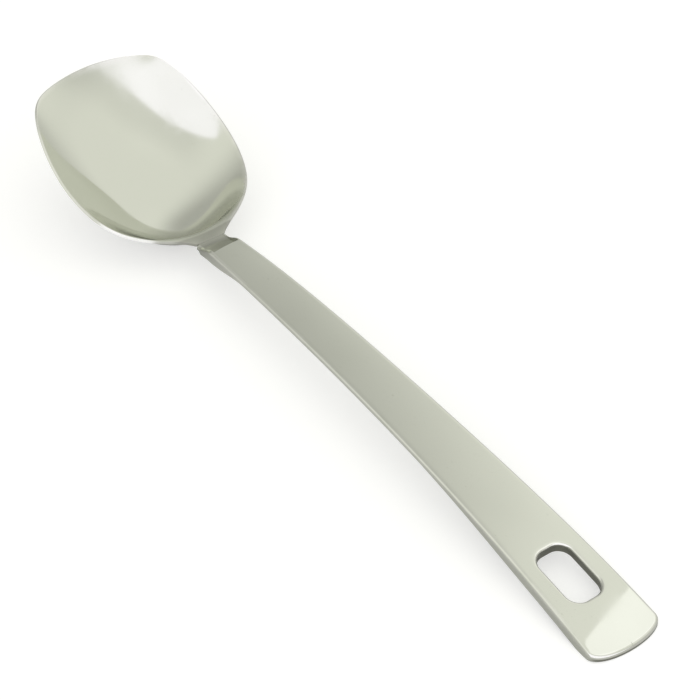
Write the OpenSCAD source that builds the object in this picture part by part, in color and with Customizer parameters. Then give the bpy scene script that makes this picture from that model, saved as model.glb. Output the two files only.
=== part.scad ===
// Serving spoon pressed from polished steel sheet.
// The blunt bowl ends in a flat tang, which lies inside the front of an arched channel handle
// and is held there by four short weld beads. The handle is open underneath.

/* [Overall] */
// Length from the end of the handle to the front of the bowl
spoon_length = 300; // [270:1:340]
// Thickness of the steel sheet of both pieces
sheet = 1; // [0.8:0.1:1.2]

/* [Bowl] */
// Length from the neck to the front edge
bowl_length = 77.9; // [68:0.1:88]
// Width across the widest place
bowl_width = 68.6; // [58:0.1:78]
// Depth under the rim
bowl_depth = 18.1; // [12:0.1:20]
// Height of the rim's lower edge where the neck begins
rim_neck_height = 10.9; // [9:0.1:12]
// Height of the rim's lower edge halfway along the bowl
rim_middle_height = 22.7; // [20:0.1:26]
// Height of the rim's lower edge at the front
rim_front_height = 43.2; // [38:0.1:50]
// Length of the gentle slope in front of the neck, before the bowl drops
shank_length = 7.5; // [4:0.5:10]
// Fullness of the bowl from side to side, where 2 is a parabola
bowl_fullness = 1.95; // [1.8:0.05:3]
// Fullness of the bowl from neck to front
bowl_length_fullness = 2.9; // [2:0.1:3.5]

/* [Handle widths] */
// Width at the hanging end, before its corners are rounded
end_width = 27.1; // [24:0.1:32]
// Width a quarter of the way to the neck
quarter_width = 23.3; // [20:0.1:26]
// Width halfway to the neck
middle_width = 19.8; // [16:0.1:23]
// Width three quarters of the way to the neck
three_quarter_width = 17.1; // [13:0.1:19]
// Width at the front edge of the top face
front_width = 13.4; // [12:0.1:15]

/* [Handle arch] */
// Height of the top face at the hanging end
end_height = 1.6; // [1.6:0.1:4]
// Height a quarter of the way to the neck
quarter_height = 10.6; // [9:0.1:13]
// Height halfway to the neck
middle_height = 14.9; // [13:0.1:18]
// Height three quarters of the way to the neck
three_quarter_height = 16.5; // [14:0.1:19]
// Height at the front edge of the top face
front_height = 14.9; // [13.5:0.1:17]
// Rise of the top face in the middle of its width
crown = 0.1; // [0:0.1:0.8]

/* [Handle walls] */
// Depth of the turned-down wall at the very end
wall_end_depth = 1.6; // [1.4:0.1:2.4]
// Depth of the wall beside the hanging hole
wall_depth = 3.8; // [3:0.1:5]
// Depth of the wall at the waist
waist_depth = 1.4; // [1.4:0.1:2.4]
// Depth of the wall at the neck
neck_depth = 4.3; // [3.5:0.1:5.5]
// Depth of the wall at the front of the ears
ear_depth = 3.6; // [2.6:0.1:4.2]
// Length of the deep wall from the hanging end
deep_wall_length = 28.5; // [24:0.5:40]
// Where the wall has become shallow
waist_start = 96.5; // [80:0.5:115]
// Where the wall starts to deepen towards the neck
waist_end = 188; // [150:1:195]
// Outer radius of the bend between top face and wall
bend_radius = 1.2; // [1.1:0.05:1.3]
// Length of the rounded end
end_round_length = 5.2; // [4:0.1:9]
// Squareness of the rounded end, where 2 is an ellipse
end_squareness = 2.1; // [2:0.1:3]

/* [Hanging hole] */
// Distance from the hanging end to the middle of the hole
hole_distance = 29; // [27:0.5:34]
// Length of the hole
hole_length = 20.6; // [17:0.1:24]
// Width of the hole
hole_width = 12.4; // [10:0.2:14]
// Radius of the corners of the hole
hole_corner = 4.6; // [3.5:0.1:4.9]
// Outer radius of the bend from the top face into the collar
collar_radius = 1.1; // [1.05:0.05:1.3]
// Depth of the collar drawn down round the hole
collar_depth = 3.3; // [2.6:0.1:3.5]

/* [Neck joint] */
// Length of the ears that reach past the front edge of the top face
ear_length = 10; // [8:0.5:12]
// How far the ears fall towards the rim
ear_fall = 1.4; // [0.8:0.1:1.6]
// Length of the tang inside the handle
tang_length = 30; // [24:1:40]
// Gap between the tang and the handle
fit_gap = 0.1; // [0.05:0.01:0.15]
// Length of one weld bead
bead_length = 5; // [3:0.5:7]
// Leg of one weld bead
bead_leg = 1.3; // [0.9:0.1:1.5]

/* [Hidden] */

steel = [0.8, 0.81, 0.78];
weld_steel = [0.66, 0.66, 0.64];

neck = spoon_length - bowl_length;
top_length = neck - ear_length;
ear_reach = ear_length - sheet - fit_gap;
widths = [end_width, quarter_width, middle_width, three_quarter_width, front_width];
heights = [end_height, quarter_height, middle_height, three_quarter_height, front_height];
rim_heights = [rim_neck_height, rim_middle_height, rim_front_height];

// Half outline of the bowl from the middle of the front edge round to the neck,
// as shares of the bowl's length and of half its width
outline_shares = [
    [1.013, 0], [0.973, 0.609], [0.908, 0.87], [0.569, 1.053], [0.188, 0.893], [0.034, 0.25]
];
// Share of the outline, from the front, at which its corner sits
corner_share = 0.36;
// Share of the handle's length over which its rows stretch into the ears
ear_run_share = 0.15;
// Steepness of the slope in front of the neck, as a share of the bowl's own fall there
shank_share = 0.2;
// Size of a weld bead at its ends, as a share of its size in the middle
bead_end_share = 0.7;
outline_rows = 34;
bowl_columns = 28;
ear_rows = 3;
tang_rows = 8;
end_rows = 9;
handle_rows = 44;
bend_steps = 4;
face_steps = 6;
corner_steps = 7;
side_steps = 4;

// Curves
function smooth(t) = let (c = min(max(t, 0), 1)) c * c * (3 - 2 * c);
function product(list, i = 0) = i == len(list) ? 1 : list[i] * product(list, i + 1);
function share_weight(i, n, t) = product([for (j = [0:n]) if (j != i) (n * t - j) / (i - j)]);
// Smooth curve through values that are spaced evenly over t = 0 to 1
function through(values, t) =
    values * [for (i = [0:len(values) - 1]) share_weight(i, len(values) - 1, t)];
function unit(v) = v / norm(v);
// Point on a cubic spline that the control points pull along, t = 0 to 1
function spline(points, t) =
    let (
        spans = len(points) - 3,
        k = min(floor(t * spans), spans - 1),
        s = t * spans - k,
        pulls = [pow(1 - s, 3), 3 * pow(s, 3) - 6 * s * s + 4, 1 + 3 * s + 3 * s * s - 3 * pow(s, 3), pow(s, 3)]
    )
    (pulls[0] * points[k] + pulls[1] * points[k + 1] + pulls[2] * points[k + 2] + pulls[3] * points[k + 3]) / 6;

// Handle: half width, height of the top face and depth of the wall at a distance from the end
function half_width(x) = through(widths, x / top_length) / 2;
function arch(x) = through(heights, x / top_length) - ear_fall * smooth((x - top_length) / ear_length);
function wall(x) =
    waist_depth
    + (wall_depth - waist_depth) * (1 - smooth((x - deep_wall_length) / (waist_start - deep_wall_length)))
    + (neck_depth - waist_depth) * smooth((x - waist_end) / (top_length - waist_end))
    - (neck_depth - ear_depth) * smooth((x - top_length) / ear_length)
    - (wall_depth - wall_end_depth) * (1 - smooth(x / (2 * end_round_length)));
function face_height(x, y) = arch(x) + crown * (1 - pow(y / half_width(x), 2));

// Bowl: outline, rim and depth
function outline_point(shares) = [neck + bowl_length * shares[0], bowl_width / 2 * shares[1]];
neck_corner = [neck, half_width(neck)];
outline_control = [for (shares = outline_shares) outline_point(shares)];
front_mirror = [outline_control[1][0], -outline_control[1][1]];
last_control = outline_control[len(outline_control) - 1];
outline_points = concat(
    [front_mirror], outline_control, [neck_corner], [2 * neck_corner - last_control]
);
function rim_height(x) = through(rim_heights, (x - neck) / bowl_length);

// Closed solid between two grids of points. A ring joins its last row to its first,
// and a pinched start is a first row whose two halves already meet.
module sheet_solid(upper, lower, ring = false, pinched = false) {
    rows = len(upper);
    columns = len(upper[0]);
    points = concat([for (row = upper) each row], [for (row = lower) each row]);
    size = rows * columns;
    function at(side, i, j) = side * size + (i % rows) * columns + j;
    last = ring ? rows - 1 : rows - 2;
    faces = concat(
        [for (i = [0:last], j = [0:columns - 2])
            each [
                [at(0, i, j), at(0, i, j + 1), at(0, i + 1, j + 1)],
                [at(0, i, j), at(0, i + 1, j + 1), at(0, i + 1, j)],
                [at(1, i, j), at(1, i + 1, j + 1), at(1, i, j + 1)],
                [at(1, i, j), at(1, i + 1, j), at(1, i + 1, j + 1)]
            ]],
        [for (i = [0:last])
            each [
                [at(0, i, 0), at(0, i + 1, 0), at(1, i + 1, 0)],
                [at(0, i, 0), at(1, i + 1, 0), at(1, i, 0)],
                [at(0, i, columns - 1), at(1, i + 1, columns - 1), at(0, i + 1, columns - 1)],
                [at(0, i, columns - 1), at(1, i, columns - 1), at(1, i + 1, columns - 1)]
            ]],
        ring || pinched ? [] : [for (j = [0:columns - 2])
            each [
                [at(0, 0, j), at(1, 0, j + 1), at(0, 0, j + 1)],
                [at(0, 0, j), at(1, 0, j), at(1, 0, j + 1)]
            ]],
        ring ? [] : [for (j = [0:columns - 2])
            each [
                [at(0, rows - 1, j), at(0, rows - 1, j + 1), at(1, rows - 1, j + 1)],
                [at(0, rows - 1, j), at(1, rows - 1, j + 1), at(1, rows - 1, j)]
            ]]
    );
    polyhedron(points, faces);
}

// Surface normal of a grid, pointing up, from the neighbours of a point
function grid_normal(grid, i, j) =
    let (
        rows = len(grid) - 1,
        columns = len(grid[0]) - 1,
        along = grid[min(i + 1, rows)][j] - grid[max(i - 1, 0)][j],
        across = grid[i][min(j + 1, columns)] - grid[i][max(j - 1, 0)],
        n = unit(cross(along, across))
    )
    n[2] < 0 ? -n : n;

// Bowl and tang, as one sheet: rows of its underside run from the front edge to the end of
// the tang, and the upper side lies one thickness above them
corner = spline(outline_points, corner_share);
function front_edge(v) = spline(outline_points, corner_share * abs(v));
function spread(v) = sign(v) * front_edge(v)[1] / corner[1];
function bowl_point(share, v) =
    let (
        side = spline(outline_points, corner_share + (1 - corner_share) * share),
        front = front_edge(v)[0],
        x = side[0] + (front - corner[0]) * pow(1 - share, 2),
        along = (x - neck) / (front - neck),
        ease = shank_share + (1 - shank_share) * smooth((x - neck) / shank_length),
        fall = (1 - pow(abs(2 * along - 1), bowl_length_fullness)) * (1 - pow(abs(spread(v)), bowl_fullness))
    )
    [x, side[1] * spread(v), rim_height(x) - bowl_depth * ease * fall];
tang_stations = [
    for (i = [0:ear_rows]) neck - sheet - (ear_length - sheet) * i / ear_rows,
    for (i = [1:tang_rows]) top_length - tang_length * i / tang_rows
];
function tang_point(x, v) =
    let (
        y = spread(v) * (half_width(x) - bend_radius - fit_gap),
        seat = face_height(x, y) - 2 * sheet - fit_gap,
        ramp = max((x - top_length) / ear_length, 0)
    )
    [x, y, seat * (1 - ramp) + rim_neck_height * ramp];
columns = [for (j = [0:bowl_columns]) 2 * j / bowl_columns - 1];
bowl_underside = [
    for (i = [0:outline_rows]) [for (v = columns) bowl_point(1 - cos(90 * i / outline_rows), v)],
    for (x = tang_stations) [for (v = columns) tang_point(x, v)]
];
bowl_inside = [
    for (i = [0:len(bowl_underside) - 1])
        [for (j = [0:bowl_columns]) bowl_underside[i][j] + sheet * grid_normal(bowl_underside, i, j)]
];

module bowl() {
    color(steel)
        place()
            sheet_solid(bowl_underside, bowl_inside);
}

// Outline of the handle from the middle of its end to the neck
handle_outline = concat(
    [for (i = [0:end_rows])
        let (
            a = 90 * i / end_rows,
            x = end_round_length * (1 - pow(cos(a), 2 / end_squareness))
        )
        [x, half_width(x) * pow(sin(a), 2 / end_squareness)]],
    [for (i = [1:handle_rows])
        let (x = end_round_length + (top_length - end_round_length) * i / handle_rows)
        [x, half_width(x)]]
);
function outline_normal(i) =
    let (
        before = i == 0 ? [handle_outline[1][0], -handle_outline[1][1]] : handle_outline[i - 1],
        after = handle_outline[min(i + 1, len(handle_outline) - 1)],
        run = unit(after - before)
    )
    [-run[1], run[0]];
// A point of row i: set in from the outline, dropped from the top face, and moved on to the ears
function handle_point(i, inset, drop, reach) =
    let (
        start = handle_outline[i],
        n = outline_normal(i),
        x = start[0] + reach * smooth(1 - (1 - start[0] / top_length) / ear_run_share) - inset * n[0],
        y = start[1] + half_width(x + inset * n[0]) - half_width(start[0]) - inset * n[1]
    )
    [x, max(y, 0), face_height(x, y) - drop];
function foot_point(i, inset) =
    let (p = handle_point(i, inset, 0, ear_reach), x = max(p[0] - inset, 0))
    [p[0], p[1], arch(x) - wall(x)];
function half_row(i, skin) = concat(
    [foot_point(i, skin)],
    [for (k = [0:bend_steps])
        let (a = 90 * k / bend_steps, r = bend_radius - skin)
        handle_point(i, bend_radius - r * cos(a), bend_radius - r * sin(a), ear_reach * (1 - k / bend_steps))],
    [for (k = [1:face_steps])
        let (p = handle_point(i, bend_radius, 0, 0), y = p[1] * (1 - k / face_steps))
        [p[0], y, face_height(p[0], y) - skin]]
);
function mirror_row(row) = [for (k = [len(row) - 2:-1:0]) [row[k][0], -row[k][1], row[k][2]]];
function full_row(i, skin) = let (row = half_row(i, skin)) concat(row, mirror_row(row));
handle_skin = [for (i = [0:len(handle_outline) - 1]) full_row(i, 0)];
handle_inside = [for (i = [0:len(handle_outline) - 1]) full_row(i, sheet)];

// Hanging hole: its outline grown by a distance, and the collar drawn down round it
function corner_point(quarter, angle, grow) =
    let (
        ahead = quarter == 0 || quarter == 3 ? 1 : -1,
        left = quarter < 2 ? 1 : -1
    )
    [
        hole_distance + ahead * (hole_length / 2 - hole_corner) + (hole_corner + grow) * cos(angle),
        left * (hole_width / 2 - hole_corner) + (hole_corner + grow) * sin(angle)
    ];
function hole_ring(grow) = [
    for (quarter = [0:3])
        let (
            turn = 90 * quarter,
            from = corner_point(quarter, turn + 90, grow),
            to = corner_point((quarter + 1) % 4, turn + 90, grow)
        )
        each concat(
            [for (k = [0:corner_steps]) corner_point(quarter, turn + 90 * k / corner_steps, grow)],
            [for (k = [1:side_steps - 1]) from + (to - from) * k / side_steps]
        )
];
// Section of the collar, as distance out from the hole and drop from the top face
sink = sheet / 8;
tongue = sheet / 2;
collar_outer = concat(
    [[collar_radius + tongue, sink]],
    [for (k = [0:bend_steps])
        let (a = 90 * k / bend_steps)
        [collar_radius * (1 - sin(a)), collar_radius * (1 - cos(a))]],
    [[0, collar_depth]]
);
collar_inner = concat(
    [[collar_radius + tongue, sheet - sink]],
    [for (k = [0:bend_steps])
        let (a = 90 * k / bend_steps, r = collar_radius - sheet)
        [collar_radius - r * sin(a), collar_radius - r * cos(a)]],
    [[sheet, collar_depth]]
);
function collar_grid(section) =
    let (rings = [for (s = section) hole_ring(s[0])])
    [for (i = [0:len(rings[0]) - 1])
        [for (j = [0:len(section) - 1])
            let (p = rings[j][i])
            [p[0], p[1], face_height(p[0], p[1]) - section[j][1]]]];

module hole_cut() {
    translate([0, 0, -wall_depth])
        linear_extrude(height = 2 * wall_depth + three_quarter_height)
            polygon(hole_ring(collar_radius + tongue / 2));
}

module handle() {
    color(steel)
        place() {
            difference() {
                sheet_solid(handle_inside, handle_skin, pinched = true);
                hole_cut();
            }
            sheet_solid(collar_grid(collar_outer), collar_grid(collar_inner), ring = true);
        }
}

// One bead in the corner between the underside of the tang and the wall of the handle
module weld_bead(from) {
    steps = 4;
    function bead_row(k, drop) =
        let (
            x = from + bead_length * k / steps,
            y = half_width(x) - sheet - fit_gap / 2,
            under = arch(x) + crown * (1 - pow(y / half_width(x), 2)) - 2 * sheet - 2 * fit_gap,
            swell = bead_end_share + (1 - bead_end_share) * sin(180 * k / steps)
        )
        [[x, y, under - drop * bead_leg * swell], [x, y - bead_leg * swell, under - drop * sheet / 5]];
    sheet_solid([for (k = [0:steps]) bead_row(k, 1)], [for (k = [0:steps]) bead_row(k, 0)]);
}

module weld_beads() {
    color(weld_steel)
        place()
            for (side = [0, 1], start = [top_length - tang_length, top_length - bead_length])
                mirror([0, side, 0])
                    weld_bead(start);
}

// The spoon lies on its bowl and on the end of its handle, with the origin under its middle
front_reach = max([for (p = bowl_underside[0]) p[0]]);
ground = min([for (row = handle_inside) row[0][2], for (row = bowl_underside, p = row) p[2]]);
module place() {
    translate([-front_reach / 2, 0, -ground])
        children();
}

bowl();
handle();
weld_beads();
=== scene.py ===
import math

import bmesh
import bpy
from bpy.props import FloatProperty, FloatVectorProperty, IntProperty, PointerProperty
from bpy.types import Operator, Panel, PropertyGroup
from mathutils import Matrix, Vector


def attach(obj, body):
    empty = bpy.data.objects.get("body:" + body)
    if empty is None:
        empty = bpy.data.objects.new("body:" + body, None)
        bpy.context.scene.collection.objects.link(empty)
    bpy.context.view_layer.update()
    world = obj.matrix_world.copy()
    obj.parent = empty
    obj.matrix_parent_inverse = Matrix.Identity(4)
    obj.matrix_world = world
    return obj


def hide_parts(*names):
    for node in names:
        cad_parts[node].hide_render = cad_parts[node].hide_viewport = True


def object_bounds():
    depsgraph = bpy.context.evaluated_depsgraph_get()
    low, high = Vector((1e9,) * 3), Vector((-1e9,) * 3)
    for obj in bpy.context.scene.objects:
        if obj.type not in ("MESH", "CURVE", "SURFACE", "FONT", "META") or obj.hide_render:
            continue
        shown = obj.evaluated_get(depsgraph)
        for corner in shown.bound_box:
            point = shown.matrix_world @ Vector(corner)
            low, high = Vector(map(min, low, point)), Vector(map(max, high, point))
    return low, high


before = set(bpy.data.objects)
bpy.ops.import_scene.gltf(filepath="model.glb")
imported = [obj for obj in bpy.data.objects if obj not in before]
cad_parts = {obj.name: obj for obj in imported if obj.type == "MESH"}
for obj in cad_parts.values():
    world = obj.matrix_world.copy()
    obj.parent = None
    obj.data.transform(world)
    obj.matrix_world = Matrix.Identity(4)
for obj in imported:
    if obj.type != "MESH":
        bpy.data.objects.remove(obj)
CAD_LOW, CAD_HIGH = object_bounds()

bl_info = {
    "name": "Steel serving spoon",
    "version": (1, 0, 0),
    "blender": (4, 5, 0),
    "location": "3D View > Sidebar > Spoon",
    "description": "Dresses the packed serving spoon in polished steel and sets it in a pale studio",
    "category": "Object",
}

MM = 0.001
QUARTER = math.pi / 2

# The spoon lies along X with the hanging end at TIP_X and the front of the bowl at the far end
TIP_X = CAD_LOW.x
SPOON_LENGTH = CAD_HIGH.x - CAD_LOW.x

# Corners of a face this close are one corner, and points this close are merged
SAME_CORNER = 1e-7
SAME_POINT = 1e-6

# What the blank of the bowl carries at each of its points: for the press, and for the steel
PRESS_LAYERS = ("run", "along", "spread", "seat", "ramp", "tang")
# The steel layers hold wear with a painted highlight, haze, and rawness with painted shade
STEEL_LAYERS = ("worn_and_sheen", "haze", "raw_and_shade")

# Outline of the bowl from the middle of its front, as shares of its length and of half its width
BOWL_OUTLINE = ((1.013, 0), (0.973, 0.609), (0.908, 0.87), (0.569, 1.053), (0.188, 0.893), (0.034, 0.25))

# Widths of the strips along the rim that are rubbed bright, as wear and painted highlight, and that are less
# well polished
WORN_SHEEN_RIM = 1.2 * MM
HAZY_RIM = 5 * MM

# How far from the neck the bowl is less well polished, and how many times more so than along its rim
HAZY_BACK = 32 * MM
BACK_HAZE = 5

# How raw the shank is, painted dark as painted shade of a dark reflection, and the length over which that
# ends
SHANK_SHADE = 0.45
SHANK_SHADE_EDGE = 1.2 * MM

# Share of the rows round the hanging end whose wall is painted raw and dark, as painted shade, and the share
# over which that ends
END_SHADE = 0.6
END_SHADE_EDGE = 0.35

# How much the bend of the handle and the roll of its collar are rubbed bright, as wear and painted highlight
WORN_SHEEN_BEND = 0.6
WORN_SHEEN_ROLL = 0.7

# Faces down the roll and down the wall of the collar
ROLL_STEPS = 8
COLLAR_STEPS = 4

# A weld bead's middle from the corner that it lies in, as a share of its leg, and its rings and their sides
BEAD_OUT = 0.45
BEAD_RINGS = 73
BEAD_SIDES = 18

# Size of a weld bead between two ripples, what a ripple adds, and how it shrinks to its tips
RIPPLE_LEAST = 0.9
RIPPLE_RISE = 0.14
BEAD_TIP = (-0.02, 0.05)

# Patterns on the steel: how they are squeezed along X, Y and Z, marks in a metre, detail, roughness and
# distortion
SMUDGES = ((1, 1, 1), 85, 5, 0.62, 0.7)
PATCHES = ((0.6, 1, 1), 24, 2)
WAVES = ((0.7, 1, 1), 42, 1)
SPECKS = ((1, 1, 1), 1300, 1)
CUT_GRAIN = ((1, 1, 0.15), 3200, 3)
WELD_STAIN = ((1, 1, 1), 900, 3)
HANDLE_LINES = ((0.05, 1, 1), 2400, 3)

# Polishing lines round the bowl: where they turn, how slowly they change on their way, and their marks in a
# metre and detail
BOWL_MIDDLE = 0.112
SLOW_TURN = 0.002
BOWL_LINES = (2400, 3)

# Where in a pattern a mark starts and where it is full, and for some of them what it goes from and to
RAW_AND_SHADE_MARKS = (0.1, 0.55, 0.75, 1)
WORN_SHEEN_MARKS = (0.3, 0.6)
DULL_MARKS = (0.35, 0.7)
SPECK_MARKS = (0.72, 0.8, 0, 0.25)
SMUDGE_MARKS = (0.42, 0.68)
CUT_MARKS = (0.3, 0.7)
CUT_ROUGHNESS = (0.2, 0.8, 0.25, 0.4)
WELD_ROUGHNESS = (0.3, 0.7, 0.35, 0.6)

# Colour of a dark speck, and how dark the weld is where it is stained most
SPECK = (0.45, 0.44, 0.4, 1)
WELD_SHADE = 0.6

# Roughness that polishing lines, worn edges, haze and raw places add; the worn edges also carry a painted
# highlight and the raw places painted shade
LINE_ROUGHNESS = 0.05
WORN_ROUGHNESS = 0.08
HAZE_ROUGHNESS = 0.05
RAW_ROUGHNESS = 0.22

# Strength and height of the bumps
LINE_BUMPS = (0.25, 0.003 * MM)
HANDLE_WAVES = (0.6, 0.08 * MM)
BOWL_WAVES = (0.6, 0.09 * MM)
CUT_BUMPS = (0.4, 0.01 * MM)
WELD_BUMPS = (0.5, 0.05 * MM)

# Where a change in the studio's light starts and where it is full, as the cosine of the angle from the way
# that it is measured along, and for some of them what it goes from and to
GAP_EDGE = (0.68, 0.96)
GAP_HEIGHT = (0.36, 0.52, 1.5, 1)
HORIZON = (0.113, 0.475)
SHADE_EDGE = (-0.36, -0.06, 0, 0.12)
SHADE_SIDE = (0.3, -0.1)
PANEL_EDGE = (-0.04, -0.02)
PANEL_SIDE = (-0.13, -0.1)
PANEL_FOOT = (0.02, 0.14)


def length_setting(name, about, default):
    """A length in metres, with its default in millimetres."""
    return FloatProperty(
        name=name, description=about, default=default * MM, min=0, unit="LENGTH", precision=5
    )


def lengths_setting(name, about, default):
    """Five lengths at even steps along the handle."""
    return FloatVectorProperty(
        name=name, description=about, default=[c * MM for c in default], size=5, min=0,
        unit="LENGTH", precision=5,
    )


def place_setting(name, about, default):
    """A point in metres, with its default in millimetres."""
    return FloatVectorProperty(
        name=name, description=about, default=[c * MM for c in default], subtype="TRANSLATION", precision=5
    )


def share_setting(name, about, default, high=1):
    """A plain number from zero up."""
    return FloatProperty(name=name, description=about, default=default, min=0, max=high)


def count_setting(name, about, default, low):
    """A number of rows, faces or ripples."""
    return IntProperty(name=name, description=about, default=default, min=low)


def angle_setting(name, about, default):
    """An angle in radians."""
    return FloatProperty(name=name, description=about, default=default, subtype="ANGLE")


def direction_setting(name, about, default):
    """A way from the middle of the studio."""
    return FloatVectorProperty(name=name, description=about, default=default, subtype="DIRECTION")


def colour_setting(name, about, default, high=1):
    """A colour, which may be brighter than white for a light."""
    return FloatVectorProperty(
        name=name, description=about, default=default, subtype="COLOR", min=0, max=high
    )


class SpoonSheetSettings(PropertyGroup):
    """What both pressed pieces share."""

    thickness: length_setting("Sheet", "Thickness of the steel sheet", 1)
    fit_gap: length_setting("Fit gap", "Gap between the tang and the handle", 0.1)
    edge_radius: length_setting("Edge radius", "Rounding of the sheet's tumbled edges", 0.24)
    edge_steps: count_setting("Edge steps", "Faces across a rounded edge", 3, 1)


class SpoonBowlSettings(PropertyGroup):
    """Sizes of the bowl and its tang."""

    length: length_setting("Length", "From the neck to the front edge", 77.9)
    width: length_setting("Width", "Across the widest place", 68.6)
    depth: length_setting("Depth", "Under the rim", 18.1)
    rim_neck: length_setting("Rim at neck", "Height of the rim where the neck begins", 10.9)
    rim_middle: length_setting("Rim halfway", "Height of the rim halfway along", 22.7)
    rim_front: length_setting("Rim at front", "Height of the rim at the front", 43.2)
    fullness: share_setting("Fullness across", "2 is a parabola from side to side", 1.95, 6)
    length_fullness: share_setting("Fullness along", "2 is a parabola from neck to front", 2.9, 6)
    shank_flat: length_setting("Flat shank", "Length of the shank before it curves down", 4.5)
    shank_length: length_setting("Shank", "From the neck to where the full depth begins", 11)
    shank_share: share_setting("Shank fall", "Share of the depth that is kept along the shank", 0.27)
    shank_tilt: share_setting("Shank tilt", "Share of the depth that the flat shank gains", 0.05)
    soft_length: length_setting("Soft length", "Length of the softer sides from the neck", 28)
    soft_sides: share_setting("Soft sides", "How much less full the sides are at the neck", 0.3)
    soft_back: share_setting("Soft back", "How much less full the back is at the neck", 0.6)
    tang_length: length_setting("Tang", "Length of the tang inside the handle", 30)
    corner_share: share_setting("Corner", "Share of the outline at which its front corner sits", 0.36)
    rows: count_setting("Rows", "Rows from the front to the neck", 150, 20)
    columns: count_setting("Columns", "Columns across half of the bowl", 64, 8)
    ear_rows: count_setting("Ear rows", "Rows between the ears", 14, 3)
    tang_rows: count_setting("Tang rows", "Rows under the top face", 30, 4)


class SpoonHandleSettings(PropertyGroup):
    """Sizes of the channel handle."""

    widths: lengths_setting(
        "Widths", "From the end, before it is rounded, to the front of the top face",
        (27.1, 23.3, 19.8, 17.1, 13.4),
    )
    heights: lengths_setting(
        "Heights", "Of the top face, from the end to its front", (1.6, 10.6, 14.9, 16.5, 14.9)
    )
    crown: length_setting("Crown", "Rise of the top face in the middle of its width", 0.3)
    wall_end: length_setting("Wall at end", "Depth of the wall at the very end", 1.6)
    wall_hole: length_setting("Wall by hole", "Depth of the wall beside the hanging hole", 3.8)
    wall_waist: length_setting("Wall at waist", "Depth of the wall at the waist", 1.4)
    wall_neck: length_setting("Wall at neck", "Depth of the wall at the neck", 4.3)
    wall_ear: length_setting("Wall at ears", "Depth of the wall at the front of the ears", 3.6)
    least_wall: length_setting("Least wall", "Wall that is left under the bend everywhere", 0.3)
    deep_wall: length_setting("Deep wall", "Length of the deep wall from the end", 28.5)
    waist_start: length_setting("Waist start", "Where the wall has become shallow", 96.5)
    waist_end: length_setting("Waist end", "Where the wall starts to deepen again", 188)
    bend_radius: length_setting("Bend radius", "Outer radius between face and wall", 1.2)
    end_round: length_setting("End round", "Length of the rounded end", 5.2)
    end_squareness: share_setting("End squareness", "2 is an ellipse", 2.1, 4)
    ear_length: length_setting("Ears", "Length of the ears past the top face", 10)
    ear_fall: length_setting("Ear fall", "How far the ears fall towards the rim", 1.4)
    ear_sink: length_setting("Ear sink", "Length over which the ears sink to the shank", 8)
    ear_taper: length_setting("Ear taper", "Length over which the ears run out into the rim", 2.6)
    ear_foot: length_setting("Ear foot", "Depth of the ears where they meet the rim", 1.3)
    crease_lean: length_setting("Crease lean", "How far the crease falls back on the left", 1.3)
    crease_run: length_setting("Crease run", "Length of top face that leans with the crease", 14)
    ear_rows: count_setting("Ear rows", "Rows along an ear", 24, 4)
    end_rows: count_setting("End rows", "Rows round the hanging end", 26, 6)
    rows: count_setting("Rows", "Rows along the handle", 230, 40)
    wall_steps: count_setting("Wall steps", "Faces down a wall", 3, 1)
    bend_steps: count_setting("Bend steps", "Faces round the bend", 8, 3)
    face_steps: count_setting("Face steps", "Faces across half of the top face", 10, 4)


class SpoonHoleSettings(PropertyGroup):
    """Sizes of the hanging hole and its collar."""

    distance: length_setting("Distance", "From the hanging end to the middle of the hole", 29)
    length: length_setting("Length", "Along the handle", 20.6)
    width: length_setting("Width", "Across the handle", 12.4)
    corner: length_setting("Corner", "Radius of the hole's corners", 4.6)
    collar_radius: length_setting("Collar bend", "Outer radius of the roll into the collar", 1.1)
    collar_depth: length_setting("Collar depth", "Depth of the collar under the top face", 3.3)
    field_margin: length_setting("Field", "Face round the hole that is laid out in rings", 6.5)
    ring_steps: count_setting("Ring steps", "Rings between the roll and the rows", 9, 2)


class SpoonWeldSettings(PropertyGroup):
    """Sizes of the four weld beads."""

    length: length_setting("Length", "Length of one bead", 5)
    leg: length_setting("Leg", "Leg of one bead", 1.3)
    end_share: share_setting("End size", "Size at a bead's ends, as a share of its middle", 0.7)
    ripples: count_setting("Ripples", "Ripples along one bead", 9, 1)


class SpoonSteelSettings(PropertyGroup):
    """Colours and polish of the steel."""

    polished: colour_setting("Polished steel", "Colour of the polished sheet", (0.72, 0.73, 0.67))
    dull: colour_setting("Dull steel", "Colour of handled patches of the sheet", (0.67, 0.68, 0.62))
    # Worn edges: wear with a painted highlight on the rims, the handle's bends and the collar's roll
    worn_and_sheen: colour_setting("Worn edges", "Colour of the edges, which are rubbed bright", (0.79, 0.79, 0.75))
    # Raw steel is also the painted shade on the shank, the wall round the hanging end and the hole's collar
    raw_and_shade: colour_setting("Raw steel", "Colour where the polishing wheel did not reach", (0.27, 0.27, 0.235))
    weld: colour_setting("Weld steel", "Colour of the weld beads", (0.5, 0.5, 0.47))
    roughness: share_setting("Roughness", "Roughness of the cleanest polished steel", 0.075)
    smudge: share_setting("Smudges", "Roughness that handling adds", 0.06)


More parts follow.
